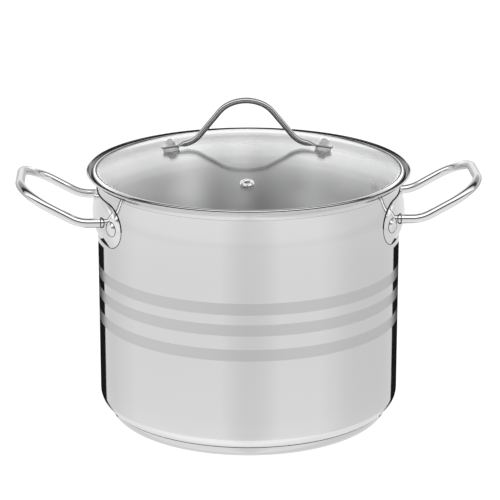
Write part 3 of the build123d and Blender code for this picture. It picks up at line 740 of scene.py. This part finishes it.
rim_band = mesh_piece("lid_band", *lathe(band_outline(), 360), BAND, "lid", "band_steel")
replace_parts(rim_band, "lid_rim_band")

# ---------------------------------------------------------------- spot welds of the rack

RACK_RADIUS = 124.0
RACK_WELD_HEIGHT = 36.2
CROSS_SPACING = 22.0
PIVOT_X = 90.0
WELD_RADIUS, WELD_HALF_HEIGHT = 1.75, 1.1


def add_rack_welds():
    """Small lumps of weld where the wires cross the outer ring."""
    vertices, faces = [], []
    for x in [i * CROSS_SPACING for i in range(-3, 4)] + [-PIVOT_X, PIVOT_X]:
        for side in (-1, 1):
            y = side * math.sqrt(RACK_RADIUS**2 - x**2)
            more_vertices, more_faces = weld_lump((x, y, RACK_WELD_HEIGHT), WELD_RADIUS, WELD_HALF_HEIGHT)
            faces += [tuple(k + len(vertices) for k in face) for face in more_faces]
            vertices += more_vertices
    mesh_piece("rack_welds", vertices, faces, RACK, "rack", "rack_wire", NO_SHARP_EDGES)


add_rack_welds()

# ---------------------------------------------------------------- painted shade line under the lid's band

EDGE_SHADE_INNER, EDGE_SHADE_OUTER = 140.35, 141.55
EDGE_SHADE_SUNK, EDGE_SHADE_RISE, EDGE_SHADE_CHAMFER = 0.05, 0.22, 0.3


def band_edge_shade_outline():
    """Thin black ring of painted shade where the band's edge meets the glass."""

    def on_glass(radius, out):
        slope = math.asin(radius / GLASS_CURVE)
        level = GLASS_TOP - GLASS_CURVE + GLASS_CURVE * math.cos(slope)
        return radius + out * math.sin(slope), level + out * math.cos(slope)

    return [
        on_glass(EDGE_SHADE_INNER, -EDGE_SHADE_SUNK),
        on_glass(EDGE_SHADE_OUTER, -EDGE_SHADE_SUNK),
        on_glass(EDGE_SHADE_OUTER, EDGE_SHADE_RISE),
        on_glass(EDGE_SHADE_INNER + EDGE_SHADE_CHAMFER, EDGE_SHADE_RISE),
    ]


mesh_piece("lid_band_edge_shade", *lathe(band_edge_shade_outline(), 360), BAND_EDGE_SHADE, "lid", "silicone")

# ---------------------------------------------------------------- studio


def stage_mesh(name, vertices, faces, shade):
    mesh = bpy.data.meshes.new(name)
    mesh.from_pydata(vertices, [], faces)
    mesh.materials.append(shade)
    made = bpy.data.objects.new(name, mesh)
    bpy.context.scene.collection.objects.link(made)
    return made


def floor_shade():
    """Pale floor that glows a little, so that it stays white round the pot."""
    made, g = material("studio_floor")
    glow = g.add("ShaderNodeEmission", {"Color": grey(1.0), "Strength": 1.0})
    paper = g.add("ShaderNodeBsdfDiffuse", {"Color": grey(0.14)})
    both = g.add("ShaderNodeAddShader", {0: glow.outputs[0], 1: paper.outputs[0]})
    g.add("ShaderNodeOutputMaterial", {"Surface": both.outputs[0]})
    return made


def one_sided_shade(name, level):
    """A tone seen from the front of the face, clear from behind."""
    made, g = material(name)
    glow = g.add("ShaderNodeEmission", {"Color": grey(level), "Strength": 1.0})
    clear = g.add("ShaderNodeBsdfTransparent", {"Color": grey(1.0)})
    behind = g.add("ShaderNodeNewGeometry").outputs["Backfacing"]
    both = g.add("ShaderNodeMixShader", {0: behind, 1: glow.outputs[0], 2: clear.outputs[0]})
    g.add("ShaderNodeOutputMaterial", {"Surface": both.outputs[0]})
    return made


def reflected_only(thing):
    for ray in ("camera", "diffuse", "transmission", "shadow", "volume_scatter"):
        setattr(thing, "visible_" + ray, False)


FLOOR_HALF = 8.0
FLOOR_DROP = -0.0004
floor = stage_mesh(
    "studio_floor",
    [(x * FLOOR_HALF, y * FLOOR_HALF, 0) for x, y in ((-1, -1), (1, -1), (1, 1), (-1, 1))],
    [(0, 1, 2, 3)],
    floor_shade(),
)
floor.location.z = FLOOR_DROP
floor.visible_glossy = False

# two narrow black flags beside the wall give the dark edges of polished steel
CAMERA_AZIMUTH = -2.75
FLAG_NEAR, FLAG_FAR_LEFT, FLAG_FAR_RIGHT = 0.1402, 0.1642, 0.1634
FLAG_BOTTOM, FLAG_TOP_FAR, FLAG_TOP_NEAR = -0.02, 0.1560, 0.1660
BLACK = one_sided_shade("studio_black", 0.012)
for side, end, reach in ((-1, "left", FLAG_FAR_LEFT), (1, "right", FLAG_FAR_RIGHT)):
    a = math.radians(CAMERA_AZIMUTH)
    across = Vector((math.cos(a) * side, math.sin(a) * side, 0))
    near, far = across * FLAG_NEAR, across * reach
    corners = ((near, FLAG_BOTTOM), (far, FLAG_BOTTOM), (far, FLAG_TOP_FAR), (near, FLAG_TOP_NEAR))
    flag = stage_mesh(
        "studio_flag_" + end,
        [(*place.xy, z) for place, z in corners],
        [(3, 2, 1, 0) if side < 0 else (0, 1, 2, 3)],
        BLACK,
    )
    reflected_only(flag)


# soft light in the pot, seen only as a glow on the inner wall: stops are (position, level)
GLOW_BY_BEARING = (
    (0.0, 0.3), (0.30, 0.22), (0.36, 0.42), (0.41, 0.36), (0.445, 0.74), (0.475, 0.30), (0.50, 0.46),
    (0.52, 0.22), (0.55, 0.40), (0.575, 0.62), (0.60, 0.50), (0.64, 0.42), (0.68, 0.25), (1.0, 0.3),
)
GLOW_BY_HEIGHT = ((0.0, 0.08), (0.40, 0.24), (0.56, 0.48), (0.72, 0.66), (0.92, 0.60))
GLOW_HEIGHT_SPAN = 0.25  # metres that the height ramp covers
GLOW_RADIUS, GLOW_BOTTOM, GLOW_TOP = 0.1275, 0.02, 0.228
GLOW_STEP = 4  # degrees


def glow_shade():
    """Soft upright streaks that fade with depth."""
    made, g = material("studio_glow")
    coords = g.object_coords()
    x, y, z = g.split(coords)
    bearing = g.math("ADD", g.math("DIVIDE", g.math("ARCTAN2", x, y), 2 * math.pi), 0.5)
    streaks = g.ramp(bearing, GLOW_BY_BEARING, "EASE")
    depth = g.ramp(g.math("MULTIPLY", z, 1 / GLOW_HEIGHT_SPAN), GLOW_BY_HEIGHT)
    patches = g.noise(g.stretched(coords, (16, 16, 30)), 1.0, 2.0)
    patches = g.math("ADD", g.math("MULTIPLY", patches, 1.2), 0.35)
    level = g.math("MULTIPLY", g.math("MULTIPLY", streaks, depth), patches)
    glow = g.add("ShaderNodeEmission", {"Color": grey(1.0), "Strength": level})
    g.add("ShaderNodeOutputMaterial", {"Surface": glow.outputs[0]})
    return made


turns = [math.radians(t) for t in range(0, 360, GLOW_STEP)]
ring = [(GLOW_RADIUS * math.cos(t), GLOW_RADIUS * math.sin(t)) for t in turns]
count = len(ring)
glow_card = stage_mesh(
    "studio_glow",
    [(px, py, GLOW_BOTTOM) for px, py in ring] + [(px, py, GLOW_TOP) for px, py in ring],
    [(i, (i + 1) % count, count + (i + 1) % count, count + i) for i in range(count)],
    glow_shade(),
)
reflected_only(glow_card)

# light by height along the arc from the front horizon (0) over the top to the back horizon (1)
OVERHEAD = (
    (0.0, 0.62), (0.02, 0.14), (0.19, 0.16), (0.22, 2.2), (0.34, 2.2), (0.37, 1.1),
    (0.48, 1.0), (0.50, 0.05), (0.63, 0.05), (0.66, 0.60), (0.73, 0.68), (0.77, 0.80), (0.81, 1.0),
    (0.83, 1.1), (0.842, 1.34), (0.857, 1.34), (0.872, 1.58), (0.92, 1.50), (0.945, 1.15), (0.965, 0.86),
    (1.0, 0.80),
)
# light below the horizon, by bearing: 0 and 1 are straight behind, 0.5 is the camera's side
AROUND = (
    (0.0, 0.80), (0.08, 0.80), (0.13, 0.74), (0.18, 0.82), (0.25, 0.93), (0.32, 0.965), (0.395, 1.01),
    (0.44, 0.91), (0.475, 0.80), (0.505, 0.77), (0.54, 0.82), (0.575, 0.93), (0.61, 1.01), (0.645, 0.92),
    (0.70, 0.83), (0.74, 0.765), (0.80, 0.765), (0.87, 0.74), (0.92, 0.80), (1.0, 0.80),
)
AROUND_LEVEL = 1.11
# part of that light kept, by depth below the horizon (0 is level, 1 is straight down)
KEPT_BY_DEPTH = ((0.0, 1.0), (0.268, 1.0), (0.30, 0.90), (0.345, 0.90), (0.39, 0.95), (1.0, 1.0))
HORIZON_SHARPNESS = 60.0


def studio_world():
    """Soft light all round: striped below the horizon, a bright box in front and above."""
    world = bpy.data.worlds.new("studio")
    world.use_nodes = True
    g = Graph(world.node_tree)
    coords = g.add("ShaderNodeTexCoord").outputs["Generated"]
    x, y, z = g.split(coords)
    ahead = g.math("MULTIPLY", y, -1.0)
    height = g.math("DIVIDE", g.math("ARCTAN2", z, ahead), math.pi)
    above = g.ramp(height, OVERHEAD)
    bearing = g.math("ADD", g.math("DIVIDE", g.math("ARCTAN2", x, ahead), 2 * math.pi), 0.5)
    bearing = g.math("SUBTRACT", bearing, CAMERA_AZIMUTH / 360)
    below = g.ramp(bearing, [(place, value * AROUND_LEVEL) for place, value in AROUND], "B_SPLINE")
    kept = g.ramp(g.math("MULTIPLY", z, -1.0), KEPT_BY_DEPTH)
    below = g.blend_colour(kept, grey(0.0), below)
    low = g.math("MULTIPLY", g.math("SUBTRACT", 0.0, z), HORIZON_SHARPNESS, clamp=True)
    level = g.blend_colour(low, above, below)
    seen = g.add("ShaderNodeLightPath").outputs["Is Camera Ray"]
    level = g.blend_colour(seen, level, grey(1.0))
    back = g.add("ShaderNodeBackground", {"Color": level, "Strength": 1.0})
    g.add("ShaderNodeOutputWorld", {"Surface": back.outputs[0]})
    bpy.context.scene.world = world


studio_world()

# ---------------------------------------------------------------- camera

AIM = Vector((0, 0, 0.15634))
ELEVATION = 17.27
DISTANCE = 2.17958
LENS, SENSOR = 167.96, 36.0
SHIFT_X, SHIFT_Y = 0.0029, 0.0010

a, e = math.radians(CAMERA_AZIMUTH), math.radians(ELEVATION)
back = Vector((math.sin(a) * math.cos(e), -math.cos(a) * math.cos(e), math.sin(e)))
camera_data = bpy.data.cameras.new("camera")
camera_data.lens = LENS
camera_data.sensor_width = SENSOR
camera_data.shift_x = SHIFT_X
camera_data.shift_y = SHIFT_Y
camera_data.clip_start = 0.1
camera_data.clip_end = 60.0
camera = bpy.data.objects.new("camera", camera_data)
camera.location = AIM + back * DISTANCE
camera.rotation_mode = "QUATERNION"
camera.rotation_quaternion = (-back).to_track_quat("-Z", "Y")
bpy.context.scene.collection.objects.link(camera)
bpy.context.scene.camera = camera
bpy.context.scene.view_settings.view_transform = "Standard"
bpy.context.scene.cycles.glossy_bounces = 12
bpy.context.scene.cycles.max_bounces = 20
